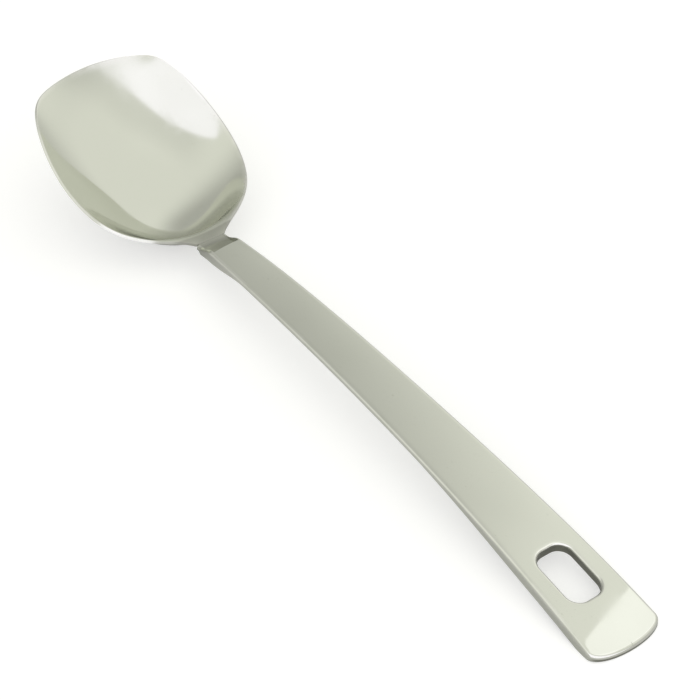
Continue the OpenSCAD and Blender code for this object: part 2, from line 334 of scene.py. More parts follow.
class SpoonStudioSettings(PropertyGroup):
    """Camera, floor and light."""

    target: place_setting("Target", "Point that the camera looks at", (-4.4, -5.26, 10.36))
    bearing: angle_setting("Bearing", "Turn of the camera round the spoon", math.radians(36.248))
    elevation: angle_setting("Elevation", "Height angle of the camera", math.radians(40.711))
    roll: angle_setting("Roll", "Tilt of the camera about its own axis", math.radians(0.062))
    distance: length_setting("Distance", "From the camera to the target", 662)
    focal_length: FloatProperty(
        name="Focal length", description="In millimetres on a 36 mm sensor", default=102.857, min=10
    )
    floor_colour: colour_setting("Floor", "Colour of the paper that the spoon lies on", (0.62, 0.62, 0.61))
    floor_radius: length_setting("Floor radius", "Radius of the floor", 6000)
    floor_lift: share_setting("Floor lift", "Light that makes the floor white to the camera", 0.5)
    mirror_lift: share_setting("Mirror lift", "The same as the steel shows it", 0.04)
    air_colour: colour_setting("Light", "Colour of the soft light all round", (0.96, 0.968, 0.897), 2)
    gap_direction: direction_setting("Gap", "Middle of the darker gap beyond the bowl", (0.785, 0.01, 0.62))
    gap_share: share_setting("Gap depth", "Share of the light that is missing in the gap", 0.42)
    horizon_share: share_setting("Horizon depth", "Share of the light that is missing low down", 0.27)
    panel_colour: colour_setting("Panel", "Colour of the white panel on the left", (1.33, 1.31, 1.38), 2)
    panel_direction: direction_setting("Panel edge", "Down, square to its upper edge", (-0.43, 0.69, -0.58))
    panel_side: direction_setting("Panel side", "Inwards, square to its right edge", (-0.659, -0.489, 0.575))
    card_place: place_setting("Card", "Middle of the white card above the hanging end", (-155, -33, 54))
    card_length: length_setting("Card length", "Length of the card before it is turned", 50)
    card_width: length_setting("Card width", "Width of the card before it is turned", 80)
    card_turn: angle_setting("Card turn", "Turn of the card about the vertical", 0.3)
    card_colour: colour_setting("Card colour", "Colour of the card", (0.93, 0.92, 1.0))
    card_power: FloatProperty(name="Card power", description="In watts", default=0.0042, min=0, precision=5)


def smooth(t):
    """Eases from 0 to 1."""
    t = min(max(t, 0.0), 1.0)
    return t * t * (3 - 2 * t)


def through(values, t):
    """Smooth curve through values that are spaced evenly over t = 0 to 1."""
    last = len(values) - 1
    total = 0.0
    for i, value in enumerate(values):
        weight = 1.0
        for j in range(last + 1):
            if j != i:
                weight *= (last * t - j) / (i - j)
        total += value * weight
    return total


def spline(points, t):
    """Point on a cubic spline that the control points pull along."""
    spans = len(points) - 3
    k = min(int(t * spans), spans - 1)
    s = t * spans - k
    pulls = (
        (1 - s) ** 3,
        3 * s**3 - 6 * s * s + 4,
        1 + 3 * s + 3 * s * s - 3 * s**3,
        s**3,
    )
    return sum((points[k + i] * pulls[i] for i in range(4)), Vector((0, 0))) / 6


class HandleForm:
    """The formulas of the channel handle, measured from the hanging end."""

    def __init__(self, scene):
        self.sizes = scene.spoon_handle
        self.sheet = scene.spoon_sheet
        s = self.sizes
        self.neck = SPOON_LENGTH - scene.spoon_bowl.length
        self.neck_rim = scene.spoon_bowl.rim_neck
        self.top_length = self.neck - s.ear_length
        self.ear_reach = s.ear_length - self.sheet.thickness - self.sheet.fit_gap
        self.ear_end = self.top_length + self.ear_reach
        self.ground = 0.0
        self.ground = self.lowest()

    def half_width(self, x):
        return through(self.sizes.widths, x / self.top_length) / 2

    def arch(self, x):
        s = self.sizes
        return (
            through(s.heights, x / self.top_length)
            - s.ear_fall * smooth((x - self.top_length) / s.ear_length)
            - self.ground
        )

    def wall(self, x):
        s = self.sizes
        shallow = 1 - smooth((x - s.deep_wall) / (s.waist_start - s.deep_wall))
        deepening = smooth((x - s.waist_end) / (self.top_length - s.waist_end))
        return (
            s.wall_waist
            + (s.wall_hole - s.wall_waist) * shallow
            + (s.wall_neck - s.wall_waist) * deepening
            - (s.wall_neck - s.wall_ear) * smooth((x - self.top_length) / s.ear_length)
            - (s.wall_ear - s.ear_foot) * smooth((x - self.ear_end + s.ear_taper) / s.ear_taper)
            - (s.wall_hole - s.wall_end) * (1 - smooth(x / (2 * s.end_round)))
        )

    def sink(self, x):
        """How far the ears lie under the line of the top face, to be level with the shank between them."""
        ramp = max((x - self.top_length) / self.sizes.ear_length, 0.0)
        seat = self.arch(x) - self.sheet.thickness - self.sheet.fit_gap
        shank = seat * (1 - ramp) + (self.neck_rim - self.ground + self.sheet.thickness) * ramp
        return smooth((x - self.top_length) / self.sizes.ear_sink) * (self.arch(x) - shank)

    def face_height(self, x, y):
        return self.arch(x) + self.sizes.crown * (1 - (y / self.half_width(x)) ** 2)

    def lowest(self):
        """Height of the foot of the wall at the place where the handle touches the ground."""
        steps = 400
        span = self.top_length / 4
        return min(
            self.arch(span * i / steps) - self.wall(span * i / steps) for i in range(steps + 1)
        )

    def outline(self):
        """Outline from the middle of the end to the neck, as x and y."""
        s = self.sizes
        points = []
        for i in range(s.end_rows + 1):
            a = QUARTER * i / s.end_rows
            x = s.end_round * (1 - max(math.cos(a), 0.0) ** (2 / s.end_squareness))
            points.append((x, self.half_width(x) * math.sin(a) ** (2 / s.end_squareness)))
        for i in range(1, s.rows + 1):
            x = s.end_round + (self.top_length - s.end_round) * i / s.rows
            points.append((x, self.half_width(x)))
        return points

    def bend_row(self, x, y, normal):
        """Points from the foot of the wall, which faces the normal, up to the edge of the top face."""
        s = self.sizes

        def point(inset, drop):
            shift = inset * normal[0]
            px = x - shift
            py = max(y + self.half_width(px + 2 * shift) - self.half_width(x) - inset * normal[1], 0.0)
            return Vector((px, py, self.face_height(px, py) - drop - self.sink(px)))

        foot = point(0, 0)
        foot.z = self.arch(foot.x) - self.wall(foot.x)
        bend = []
        for k in range(s.bend_steps + 1):
            a = QUARTER * k / s.bend_steps
            bend.append(point(s.bend_radius * (1 - math.cos(a)), s.bend_radius * (1 - math.sin(a))))
        foot.z = min(foot.z, bend[0].z - s.least_wall)
        return [foot.lerp(bend[0], k / s.wall_steps) for k in range(s.wall_steps)] + bend

    def rows(self):
        """Rows of points from the foot of one wall over the top to the foot of the other."""
        s = self.sizes
        outline = self.outline()
        rows = []
        for i, start in enumerate(outline):
            before = outline[i - 1] if i else (outline[1][0], -outline[1][1])
            after = outline[min(i + 1, len(outline) - 1)]
            run = Vector((after[0] - before[0], after[1] - before[1])).normalized()
            points = self.bend_row(*start, (-run.y, run.x))
            edge = points[-1]
            for k in range(1, s.face_steps + 1):
                y = edge.y * (1 - k / s.face_steps)
                points.append(Vector((edge.x, y, self.face_height(edge.x, y))))
            left, right = self.lean(smooth(1 - (self.top_length - start[0]) / s.crease_run), points)
            rows.append(left + right[-2::-1])
        return rows

    def ears(self):
        """Rows of the two strips that run on past the top face, each from its foot to its inner edge."""
        s = self.sizes
        pairs = []
        for i in range(1, s.ear_rows + 1):
            x = self.top_length + self.ear_reach * i / s.ear_rows
            points = self.bend_row(x, self.half_width(x), (0, 1))
            pairs.append(self.lean(1 - smooth(i / s.ear_rows), points))
        return pairs

    def lean(self, share, points):
        """The left and right half of a row, with the top face falling back on the left at the crease."""
        s = self.sizes
        halves = ([], [])
        for k, p in enumerate(points):
            grip = min(max((k - s.wall_steps) / s.bend_steps, 0.0), 1.0)
            for side, half in zip((1, -1), halves):
                y = side * p.y
                shift = -s.crease_lean * share * grip * (1 + y / self.half_width(p.x)) / 2
                rise = self.face_height(p.x + shift, y) - self.face_height(p.x, y)
                half.append(Vector((p.x + shift, y, p.z + rise)))
        return halves


def hole_ring(hole, wider, counts):
    """Outline of the hole, wider by a distance, with so many points along its short and long sides.
    It starts at the corner nearest to the hanging end on the left and runs anticlockwise from above."""
    halves = (hole.length / 2 - hole.corner, hole.width / 2 - hole.corner)
    radius = hole.corner + wider
    points = []
    for side, (out_x, out_y) in enumerate(((-1, 0), (0, -1), (1, 0), (0, 1))):
        reach, straight = halves if side % 2 == 0 else halves[::-1]
        total = 2 * (radius * QUARTER / 2 + straight)
        steps = counts[side % 2]
        for k in range(steps):
            s = total * k / steps - total / 2
            angle = max(abs(s) - straight, 0.0) / radius
            out = reach + radius * math.cos(angle)
            along = math.copysign(min(abs(s), straight) + radius * math.sin(angle), s)
            x = out_x * out - out_y * along
            points.append((hole.distance + x, out_y * out + out_x * along))
    return points


def add_quad(mesh, corners):
    """A face of the corners that are left when those in one place are merged."""
    kept = []
    for v in corners:
        if all((v.co - other.co).length > SAME_CORNER for other in kept):
            kept.append(v)
    if len(kept) > 2:
        mesh.faces.new(kept)


def join_rows(mesh, rows, closed=False):
    """Faces between neighbouring rows of vertices."""
    for lower, upper in zip(rows, rows[1:]):
        count = len(lower)
        for j in range(count if closed else count - 1):
            k = (j + 1) % count
            add_quad(mesh, (lower[j], lower[k], upper[k], upper[j]))


def new_object(name, data):
    made = bpy.data.objects.new(name, data)
    bpy.context.scene.collection.objects.link(made)
    return made


def mesh_from(bm, name):
    data = bpy.data.meshes.new(name)
    bm.to_mesh(data)
    bm.free()
    data.shade_smooth()
    return data


def piece_from(bm, name):
    """A piece of a mesh that is measured from the hanging end, in its place in the frame."""
    bmesh.ops.translate(bm, verts=bm.verts, vec=Vector((TIP_X, 0, 0)))
    return new_object(name, mesh_from(bm, name))


def finish_sheet(piece, settings, rim_material=0):
    """Gives a pressed sheet its thickness and its rounded edges."""
    wall = piece.modifiers.new("Sheet", "SOLIDIFY")
    wall.thickness = settings.thickness
    wall.offset = -1
    wall.use_even_offset = True
    wall.material_offset_rim = rim_material
    edges = piece.modifiers.new("Edges", "BEVEL")
    edges.width = settings.edge_radius
    edges.segments = settings.edge_steps
    edges.limit_method = "ANGLE"
    edges.angle_limit = math.radians(50)
    edges.harden_normals = True


def ride_for(piece, slot, *nodes):
    """Hangs a finished piece under the root body and hides the CAD nodes that it takes the place of."""
    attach(piece, "root")
    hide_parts(*nodes)


class NodeBuilder:
    """Short ways to write a node tree."""

    def __init__(self, tree):
        self.tree = tree

    def fill(self, node, inputs):
        """Links a node's inputs, by name or number, to other sockets or sets their values."""
        for name, value in inputs.items():
            if isinstance(value, bpy.types.NodeSocket):
                self.tree.links.new(value, node.inputs[name])
            else:
                node.inputs[name].default_value = value
        return node

    def add(self, kind, inputs=None, **settings):
        made = self.tree.nodes.new(kind)
        for name, value in settings.items():
            setattr(made, name, value)
        return self.fill(made, inputs or {})

    def math(self, operation, first, second=0.0, clamp=False):
        made = self.add("ShaderNodeMath", {0: first, 1: second}, operation=operation, use_clamp=clamp)
        return made.outputs[0]

    def chain(self, operation, total, *others):
        for other in others:
            total = self.math(operation, total, other)
        return total

    def plus(self, *terms):
        return self.chain("ADD", *terms)

    def minus(self, *terms):
        return self.chain("SUBTRACT", *terms)

    def times(self, *factors):
        return self.chain("MULTIPLY", *factors)

    def eased(self, value, low, high, to_low=0.0, to_high=1.0, kind="SMOOTHSTEP"):
        """Goes from one value to another while a number goes from low to high."""
        made = self.add("ShaderNodeMapRange", {
            "Value": value, "From Min": low, "From Max": high, "To Min": to_low, "To Max": to_high,
        }, interpolation_type=kind)
        return made.outputs["Result"]

    def parts(self, vector):
        return self.add("ShaderNodeSeparateXYZ", {"Vector": vector}).outputs

    def vector(self, **parts):
        return self.add("ShaderNodeCombineXYZ", parts).outputs["Vector"]

    def vector_math(self, operation, inputs, result="Value"):
        return self.add("ShaderNodeVectorMath", inputs, operation=operation).outputs[result]

    def mix(self, share, first, second, blend="MIX"):
        """A colour between two colours."""
        made = self.add(
            "ShaderNodeMix", {"Factor": share, 6: first, 7: second}, data_type="RGBA", blend_type=blend
        )
        return made.outputs[2]

    def bumps(self, height, strength, distance, under=None):
        """The normal of a pattern of bumps, on top of other bumps where there are any."""
        inputs = {"Height": height, "Strength": strength, "Distance": distance}
        if under is not None:
            inputs["Normal"] = under
        return self.add("ShaderNodeBump", inputs).outputs["Normal"]


def stored(nodes, name):
    """A number that the blank carries at each point."""
    made = nodes.add("GeometryNodeInputNamedAttribute", {"Name": name}, data_type="FLOAT")
    return made.outputs["Attribute"]


def grow(piece, name, shape, sizes, finish):
    """Makes a geometry node tree with the sizes as its inputs and the nodes that the function shape adds,
    runs it on a piece once and keeps its result as a plain mesh."""
    tree = bpy.data.node_groups.new(name, "GeometryNodeTree")
    tree.is_modifier = True
    sockets = [("Blank", "Geometry"), *[(label, "Float") for label in sizes], ("Finish", "Material")]
    for label, kind in sockets:
        tree.interface.new_socket(name=label, in_out="INPUT", socket_type="NodeSocket" + kind)
    tree.interface.new_socket(name="Piece", in_out="OUTPUT", socket_type="NodeSocketGeometry")
    nodes = NodeBuilder(tree)
    given = nodes.add("NodeGroupInput").outputs
    real = nodes.add("GeometryNodeRealizeInstances", {"Geometry": shape(nodes, given)}).outputs["Geometry"]
    coated = nodes.add("GeometryNodeSetMaterial", {"Geometry": real, "Material": given["Finish"]})
    nodes.add("NodeGroupOutput", {"Piece": coated.outputs["Geometry"]})
    growth = piece.modifiers.new(name, "NODES")
    growth.node_group = tree
    values = {**sizes, "Finish": finish}
    for item in tree.interface.items_tree:
        if item.name in values:
            growth[item.identifier] = values[item.name]
    graph = bpy.context.evaluated_depsgraph_get()
    made = bpy.data.meshes.new_from_object(
        piece.evaluated_get(graph), preserve_all_data_layers=True, depsgraph=graph
    )
    piece.modifiers.remove(growth)
    made.name = piece.name
    made.shade_smooth()
    piece.data = made


def new_material(name):
    made = bpy.data.materials.new(name)
    made.use_nodes = True
    return made, NodeBuilder(made.node_tree), made.node_tree.nodes["Principled BSDF"]


def object_place(nodes, **changes):
    """The object's own coordinates, moved or squeezed."""
    place = nodes.add("ShaderNodeTexCoord").outputs["Object"]
    return nodes.add("ShaderNodeMapping", {"Vector": place, **changes}).outputs["Vector"]


def noise(nodes, place, scale, detail, roughness=0.5, distortion=0.0):
    return nodes.add("ShaderNodeTexNoise", {
        "Vector": place, "Scale": scale, "Detail": detail, "Roughness": roughness, "Distortion": distortion,
    }).outputs["Fac"]


def pattern(nodes, squeeze, *look):
    """Noise that is drawn out along some axes."""
    return noise(nodes, object_place(nodes, Scale=squeeze), *look)


def handle_lines(nodes):
    """Fine polishing lines along the handle."""
    return pattern(nodes, *HANDLE_LINES)


def bowl_lines(nodes):
    """Fine polishing lines that run round the bowl."""
    place = object_place(nodes, Location=(-BOWL_MIDDLE, 0, 0))
    out = nodes.vector_math("LENGTH", {0: place})
    turned = nodes.parts(nodes.vector_math("NORMALIZE", {0: place}, "Vector"))
    slow = {axis: nodes.times(turned[way], SLOW_TURN) for axis, way in (("Y", "X"), ("Z", "Y"))}
    return noise(nodes, nodes.vector(X=out, **slow), *BOWL_LINES)


def finish_steel(nodes, shader, colour, roughness, normal):
    nodes.fill(shader, {"Base Color": colour, "Metallic": 1, "Roughness": roughness, "Normal": normal})


def polished_steel(name, settings, polish_lines, wave_bumps):
    """Hand polished sheet: soft waves, polishing lines, smudges, duller patches, bright worn edges that also
    carry a painted highlight, and raw places that carry painted shade.
    """
    made, nodes, shader = new_material(name)
    times, plus = nodes.times, nodes.plus
    lines = polish_lines(nodes)
    smudges, patches, waves, specks = [pattern(nodes, *look) for look in (SMUDGES, PATCHES, WAVES, SPECKS)]
    worn_and_sheen, haze, raw_and_shade = [
        nodes.add("ShaderNodeAttribute", attribute_name=layer).outputs["Fac"] for layer in STEEL_LAYERS
    ]
    # Painted shade on the shank, the wall round the hanging end and the collar, where the steel is also raw
    raw_and_shade = times(raw_and_shade, nodes.eased(smudges, *RAW_AND_SHADE_MARKS))
    # Wear with a painted highlight along the rims, the bends and the collar's roll
    worn_and_sheen = nodes.math("MULTIPLY", worn_and_sheen, nodes.eased(smudges, *WORN_SHEEN_MARKS), clamp=True)
    colour = nodes.mix(nodes.eased(patches, *DULL_MARKS), (*settings.polished, 1), (*settings.dull, 1))
    colour = nodes.mix(worn_and_sheen, colour, (*settings.worn_and_sheen, 1))
    colour = nodes.mix(nodes.eased(specks, *SPECK_MARKS), colour, SPECK, "MULTIPLY")
    colour = nodes.mix(raw_and_shade, colour, (*settings.raw_and_shade, 1))
    grease = nodes.eased(smudges, *SMUDGE_MARKS, settings.roughness, settings.roughness + settings.smudge)
    streaks = times(nodes.minus(lines, 0.5), LINE_ROUGHNESS)
    worn_off = plus(times(worn_and_sheen, WORN_ROUGHNESS), times(haze, HAZE_ROUGHNESS))
    roughness = plus(plus(grease, streaks), plus(worn_off, times(raw_and_shade, RAW_ROUGHNESS)))
    fine = nodes.bumps(lines, *LINE_BUMPS)
    finish_steel(nodes, shader, colour, roughness, nodes.bumps(waves, *wave_bumps, fine))
    return made


def cut_steel(settings):
    """Sheared edge of the sheet, drawn down in fine lines and left unpolished."""
    made, nodes, shader = new_material("cut_edge")
    grain = pattern(nodes, *CUT_GRAIN)
    colour = nodes.mix(nodes.eased(grain, *CUT_MARKS), (*settings.raw_and_shade, 1), (*settings.dull, 1))
    finish_steel(nodes, shader, colour, nodes.eased(grain, *CUT_ROUGHNESS), nodes.bumps(grain, *CUT_BUMPS))
    return made


def weld_steel(settings):
    """Heat stained weld metal."""
    made, nodes, shader = new_material("weld_steel")
    stain = pattern(nodes, *WELD_STAIN)
    ramp = nodes.add("ShaderNodeValToRGB", {"Fac": stain})
    for element, shade in zip(ramp.color_ramp.elements, (WELD_SHADE, 1)):
        element.color = (*[c * shade for c in settings.weld], 1)
    roughness = nodes.eased(stain, *WELD_ROUGHNESS, kind="LINEAR")
    finish_steel(nodes, shader, ramp.outputs["Color"], roughness, nodes.bumps(stain, *WELD_BUMPS))
    return made


class SPOON_OT_add_handle(Operator):
    """Add the arched channel handle with its hanging hole and drawn collar"""

    bl_idname = "spoon.add_handle"
    bl_label = "Add handle"

    def execute(self, context):
        scene = context.scene
        form = HandleForm(scene)
        hole = scene.spoon_hole
        bm = bmesh.new()
        worn_and_sheen = bm.verts.layers.float.new("worn_and_sheen")
        raw_and_shade = bm.verts.layers.float.new("raw_and_shade")
        rows = [[bm.verts.new(p) for p in points] for points in form.rows()]
        end_rows = scene.spoon_handle.end_rows
        # Painted shade on the wall round the hanging end
        for i, row in enumerate(rows):
            share = 1 - smooth((i - end_rows * END_SHADE) / (end_rows * END_SHADE_EDGE))
            for j in range(scene.spoon_handle.wall_steps + 1):
                row[j][raw_and_shade] = row[-1 - j][raw_and_shade] = share
        edge = scene.spoon_handle.wall_steps + scene.spoon_handle.bend_steps
        # Wear with a painted highlight on the feet of the walls and along the bends
        for row in rows:
            for v in (row[0], row[-1]):
                v[worn_and_sheen] = 1
            for j in range(scene.spoon_handle.wall_steps + 1, edge):
                row[j][worn_and_sheen] = row[-1 - j][worn_and_sheen] = WORN_SHEEN_BEND
        far = len(rows[0]) - 1 - edge
        middle = [row[edge + 1].co.x for row in rows]
        low_x = hole.distance - hole.length / 2 - hole.field_margin
        high_x = hole.distance + hole.length / 2 + hole.field_margin
        first = min(range(len(rows)), key=lambda i: abs(middle[i] - low_x))
        last = min(range(len(rows)), key=lambda i: abs(middle[i] - high_x))
        field = (edge, far, first, last)
        self.skin(bm, rows, field)
        self.ears(bm, worn_and_sheen, form, rows[-1], edge)
        self.hole_field(bm, (worn_and_sheen, raw_and_shade), form, hole, rows, field)
        bmesh.ops.remove_doubles(bm, verts=bm.verts, dist=SAME_POINT)
        bmesh.ops.delete(bm, geom=[v for v in bm.verts if not v.link_faces], context="VERTS")
        bmesh.ops.recalc_face_normals(bm, faces=bm.faces)
        top = max(bm.faces, key=lambda f: f.calc_center_median().z)
        if top.normal.z < 0:
            bmesh.ops.reverse_faces(bm, faces=bm.faces)
        piece = piece_from(bm, "channel_handle")
        finish_sheet(piece, scene.spoon_sheet, rim_material=1)
        steel = polished_steel("polished_handle", scene.spoon_steel, handle_lines, HANDLE_WAVES)
        piece.data.materials.append(steel)
        piece.data.materials.append(cut_steel(scene.spoon_steel))
        ride_for(piece, "polished_steel", "handle")
        return {"FINISHED"}

    @staticmethod
    def skin(bm, rows, field):
        """Faces of the channel, without the field round the hole."""
        edge, far, first, last = field
        for i in range(len(rows) - 1):
            for j in range(len(rows[0]) - 1):
                if first <= i < last and edge <= j < far:
                    continue
                add_quad(bm, (rows[i][j], rows[i][j + 1], rows[i + 1][j + 1], rows[i + 1][j]))

    @staticmethod
    def ears(bm, worn_and_sheen, form, front, edge):
        """Faces of the two strips beside the shank."""
        strips = [[front[:edge + 1]], [front[:-edge - 2:-1]]]
        for halves in form.ears():
            for strip, points in zip(strips, halves):
                strip.append([bm.verts.new(p) for p in points])
                strip[-1][0][worn_and_sheen] = 1
        for strip in strips:
            join_rows(bm, strip)

    @staticmethod
    def hole_field(bm, layers, form, hole, rows, field):
        """Rings from the rows round the field to the roll, and down the collar."""
        worn_and_sheen, raw_and_shade = layers
        edge, far, first, last = field
        across = list(range(edge, far))
        along = list(range(first, last))
        border = [rows[first][j] for j in across]
        border += [rows[i][far] for i in along]
        border += [rows[last][j + 1] for j in reversed(across)]
        border += [rows[i + 1][edge] for i in reversed(along)]
        counts = (len(across), len(along))
        radius = hole.collar_radius
        rings = [border]
        outer = hole_ring(hole, radius, counts)
        for k in range(1, hole.ring_steps + 1):
            share = k / hole.ring_steps
            ring = []
            for start, (x, y) in zip(border, outer):
                px = start.co.x + (x - start.co.x) * share
                py = start.co.y + (y - start.co.y) * share
                ring.append(bm.verts.new((px, py, form.face_height(px, py))))
            rings.append(ring)
        section = []
        for k in range(1, ROLL_STEPS + 1):
            a = QUARTER * k / ROLL_STEPS
            section.append((radius * (1 - math.sin(a)), radius * (1 - math.cos(a))))
        for k in range(1, COLLAR_STEPS + 1):
            section.append((0, radius + (hole.collar_depth - radius) * k / COLLAR_STEPS))
        for wider, drop in section:
            ring = []
            for x, y in hole_ring(hole, wider, counts):
                v = bm.verts.new((x, y, form.face_height(x, y) - drop))
                # Painted highlight on the roll, partly as wear, and painted shade down the collar's wall
                v[worn_and_sheen] = 0 if drop > radius else WORN_SHEEN_ROLL
                v[raw_and_shade] = smooth(2 * drop / radius - 1)
                ring.append(v)
            rings.append(ring)
        join_rows(bm, rings, closed=True)


class SPOON_OT_add_bowl(Operator):
    """Add the bowl with its neck and the tang inside the handle"""

    bl_idname = "spoon.add_bowl"
    bl_label = "Add bowl"

    def execute(self, context):
        scene = context.scene
        bowl = scene.spoon_bowl
        form = HandleForm(scene)
        bm = bmesh.new()
        layers = {name: bm.verts.layers.float.new(name) for name in PRESS_LAYERS + STEEL_LAYERS}
        rows = []
        for points in self.blank(scene, form):
            row = []
            for point in points:
                v = bm.verts.new((point["x"], point["y"], 0))
                for name, layer in layers.items():
                    v[layer] = point.get(name, 0)
                row.append(v)
            rows.append(row)
        join_rows(bm, rows)
        for face in bm.faces:
            face.normal_update()
        if sum(face.normal.z for face in bm.faces) > 0:
            bmesh.ops.reverse_faces(bm, faces=bm.faces)
        piece = piece_from(bm, "bowl_and_tang")
        sizes = {
            "Length": bowl.length,
            "Depth": bowl.depth,
            "Rim at neck": bowl.rim_neck,
            "Rim halfway": bowl.rim_middle,
            "Rim at front": bowl.rim_front,
            "Fullness across": bowl.fullness,
            "Fullness along": bowl.length_fullness,
            "Flat shank": bowl.shank_flat,
            "Shank length": bowl.shank_length,
            "Shank fall": bowl.shank_share,
            "Shank tilt": bowl.shank_tilt,
            "Soft length": bowl.soft_length,
            "Soft sides": bowl.soft_sides,
            "Soft back": bowl.soft_back,
            "Ground": form.ground,
        }
        steel = polished_steel("polished_bowl", scene.spoon_steel, bowl_lines, BOWL_WAVES)
        grow(piece, "press_bowl", self.press, sizes, steel)
        finish_sheet(piece, scene.spoon_sheet)
        ride_for(piece, "polished_steel", "bowl")
        return {"FINISHED"}

    def blank(self, scene, form):
        """The flat blank of the underside, with what the press has to know at each of its points."""
        s = scene.spoon_bowl
        sheet = scene.spoon_sheet
        control = [Vector((form.neck + s.length * a, s.width / 2 * b)) for a, b in BOWL_OUTLINE]
        neck_corner = Vector((form.neck, form.half_width(form.neck)))
        points = [Vector((control[1].x, -control[1].y)), *control, neck_corner, 2 * neck_corner - control[-1]]
        corner = spline(points, s.corner_share)
        columns = [j / s.columns for j in range(-s.columns, s.columns + 1)]
        fronts = [spline(points, s.corner_share * abs(v)) for v in columns]
        spreads = [math.copysign(f.y / corner.y, v) for f, v in zip(fronts, columns)]
        rows = []
        for i in range(s.rows + 1):
            share = 1 - math.cos(QUARTER * i / s.rows)
            side = spline(points, s.corner_share + (1 - s.corner_share) * share)
            row = []
            for front, spread in zip(fronts, spreads):
                x = side.x + (front.x - corner.x) * (1 - share) ** 2
                run = x - form.neck
                inside = min((1 - abs(spread)) * side.y, front.x - x)
                rim_haze = smooth(1 - inside / HAZY_RIM) * smooth((run - HAZY_RIM) / HAZY_RIM)
                row.append({
                    "x": x,
                    "y": side.y * spread,
                    "run": run,
                    "along": run / (front.x - form.neck),
                    "spread": spread,
                    # Wear with a painted highlight along the rim
                    "worn_and_sheen": max(1 - inside / WORN_SHEEN_RIM, 0.0),
                    "haze": max(rim_haze, BACK_HAZE * smooth(1 - run / HAZY_BACK)),
                    # Painted shade, as a dark reflection, on the shank up to where it falls into the bowl
                    "raw_and_shade": SHANK_SHADE * smooth((s.shank_flat + form.neck - x) / SHANK_SHADE_EDGE),
                })
            rows.append(row)
        first = form.neck - sheet.thickness
        stations = [first + (form.top_length - first) * i / s.ear_rows for i in range(s.ear_rows)]
        stations += [form.top_length - s.tang_length * i / s.tang_rows for i in range(s.tang_rows + 1)]
        rows += [[self.tang_point(scene, form, x, spread) for spread in spreads] for x in stations]
        return rows

    @staticmethod
    def tang_point(scene, form, x, spread):
        """A point of the tang, which is seated under the top face and climbs to the neck between the ears."""
        sheet = scene.spoon_sheet
        handle = scene.spoon_handle
        y = spread * (form.half_width(x) - handle.bend_radius - sheet.fit_gap)
        return {
            "x": x,
            "y": y,
            "tang": 1,
            # Painted shade, the same as on the shank
            "raw_and_shade": SHANK_SHADE,
            "seat": form.face_height(x, y) - 2 * sheet.thickness - sheet.fit_gap,
            "ramp": max((x - form.top_length) / handle.ear_length, 0.0),
        }

    @staticmethod
    def press(nodes, given):
        """Presses the flat blank: each point rises to the rim less the bowl's depth there."""
        calc, plus, minus, times = nodes.math, nodes.plus, nodes.minus, nodes.times
        run, along, spread, seat, ramp, tang = [stored(nodes, name) for name in PRESS_LAYERS]
        share = calc("DIVIDE", run, given["Length"])
        double = minus(times(share, 2.0), 1.0)
        rim = plus(
            times(double, minus(share, 1.0), given["Rim at neck"]),
            times(share, 4.0, minus(1.0, share), given["Rim halfway"]),
            times(share, double, given["Rim at front"]),
        )
        from_middle = calc("ABSOLUTE", minus(times(along, 2.0), 1.0))
        back = nodes.eased(along, 0.0, 0.5, given["Soft back"], 0.0)
        soft = nodes.eased(run, 0.0, given["Soft length"], given["Soft sides"], 0.0)
        down_length = calc("POWER", from_middle, minus(given["Fullness along"], back))
        down_sides = calc("POWER", calc("ABSOLUTE", spread), minus(given["Fullness across"], soft))
        fall = times(minus(1.0, down_length), minus(1.0, down_sides))
        flat_share = calc("DIVIDE", run, given["Flat shank"], clamp=True)
        start = plus(given["Shank fall"], times(given["Shank tilt"], flat_share))
        ease = nodes.eased(run, given["Flat shank"], given["Shank length"], start, 1.0)
        pressed = minus(rim, times(given["Depth"], ease, fall), given["Ground"])
        climb = times(minus(given["Rim at neck"], given["Ground"], seat), ramp)
        height = plus(times(plus(seat, climb), tang), times(pressed, minus(1.0, tang)))
        move = {"Geometry": given["Blank"], "Offset": nodes.vector(Z=height)}
        return nodes.add("GeometryNodeSetPosition", move).outputs["Geometry"]


